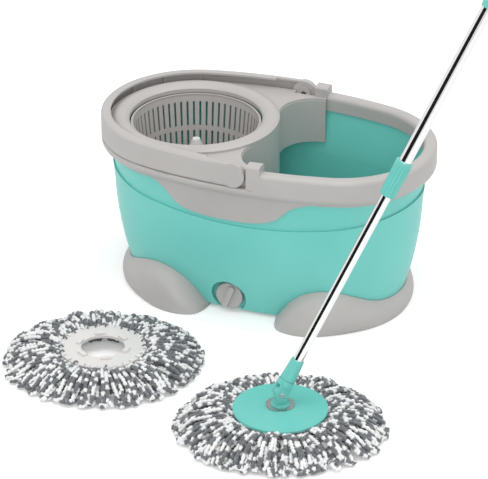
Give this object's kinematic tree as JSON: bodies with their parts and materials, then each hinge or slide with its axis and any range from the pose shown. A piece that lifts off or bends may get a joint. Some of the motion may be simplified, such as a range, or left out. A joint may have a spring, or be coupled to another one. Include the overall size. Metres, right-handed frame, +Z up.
{
  "type": "spin mop and bucket set",
  "caption": "Spin mop set: a two-part bucket with a spinning wringer basket and fold-up handle, a round strand mop on a telescopic spiral-drive pole, and a spare strand head.",
  "frame": {"origin": "on the floor, at the middle of the set's footprint", "axes": "+Z up, +X along the bucket from the spinner end to the wash end, -Y towards the mop and the spare head"},
  "size_m": [0.7429, 0.691, 0.771],
  "materials": {
    "teal_plastic": "gloss",
    "grey_plastic": "satin",
    "white_plastic": "satin",
    "steel": "brushed",
    "tube_chrome": "polished",
    "seal_rubber": "matt",
    "strand_grey": "looped microfibre"
  },
  "bodies": {
    "bucket": {"tub": "teal_plastic", "rim_collar": "grey_plastic", "spinner_housing": "grey_plastic", "spindle_post": "teal_plastic", "spindle": "steel", "thrust_washer": "white_plastic", "spindle_nut": "steel", "foot_spinner_end": "grey_plastic", "foot_wash_end": "grey_plastic", "handle_pins": "steel"},
    "handle": {"carry_handle": "grey_plastic"},
    "basket": {"basket_bowl": "grey_plastic", "basket_cone": "grey_plastic", "basket_bush": "white_plastic"},
    "drain_plug": {"drain_knob": "grey_plastic"},
    "seal": {"drain_seal": "seal_rubber"},
    "mop_head": {"head_plate": "teal_plastic", "plate_washer": "steel", "knuckle": "teal_plastic", "pad_ring": "white_plastic", "pad_strands": "strand_grey"},
    "lower_pole": {"yoke_socket": "teal_plastic", "hinge_pin": "steel", "lower_tube": "tube_chrome"},
    "guide": {"guide_bush": "white_plastic", "drive_nut": "steel"},
    "upper_pole": {"upper_tube": "tube_chrome", "spiral_rod": "steel", "rod_plug": "white_plastic", "clamp_sleeve": "white_plastic", "grip": "teal_plastic"},
    "lock": {"lock_collar": "teal_plastic"},
    "refill": {"refill_ring": "white_plastic", "refill_strands": "strand_grey"}
  },
  "joints": [
    {"name": "handle_fold", "type": "hinge", "parent": "bucket", "child": "handle", "pos_m": [-0.0979, 0.193, 0.2446], "axis": [0, 1, 0], "range_deg": [0, 95]},
    {"name": "basket_spin", "type": "hinge", "parent": "bucket", "child": "basket", "pos_m": [-0.213, 0.193, 0.1505], "axis": [0, 0, 1], "continuous": true},
    {"name": "drain_turn", "type": "hinge", "parent": "seal", "child": "drain_plug", "pos_m": [-0.119, 0.0935, 0.027], "axis": [0, -1, 0], "range_deg": [0, 720]},
    {"name": "seal_travel", "type": "slide", "parent": "bucket", "child": "seal", "axis": [0, -1, 0], "range_m": [0, 0.0061]},
    {"name": "mop_lift", "type": "slide", "parent": "bucket", "child": "mop_head", "axis": [0, 0, 1], "range_m": [0, 0.3]},
    {"name": "pole_tilt", "type": "hinge", "parent": "mop_head", "child": "lower_pole", "pos_m": [0.067, -0.202, 0.06], "axis": [-0.6018, 0.7986, 0], "range_deg": [-102.5, 47.5]},
    {"name": "telescope", "type": "slide", "parent": "lower_pole", "child": "upper_pole", "axis": [0.3688, 0.2779, 0.887], "range_m": [-0.16, 0.165]},
    {"name": "guide_turn", "type": "hinge", "parent": "lower_pole", "child": "guide", "pos_m": [0.27351, -0.04638, 0.55673], "axis": [0.3688, 0.2779, 0.887], "range_deg": [-520, 520]},
    {"name": "lock_twist", "type": "hinge", "parent": "upper_pole", "child": "lock", "pos_m": [0.19238, -0.10752, 0.36158], "axis": [0.3688, 0.2779, 0.887], "range_deg": [0, 90]},
    {"name": "refill_lift", "type": "slide", "parent": "bucket", "child": "refill", "axis": [0, 0, 1], "range_m": [0, 0.2]}
  ],
  "couplings": [
    {"joint": "seal_travel", "follows": "drain_turn", "m_per_rad": 0.00047746},
    {"joint": "guide_turn", "follows": "telescope", "rad_per_m": -52.36}
  ]
}
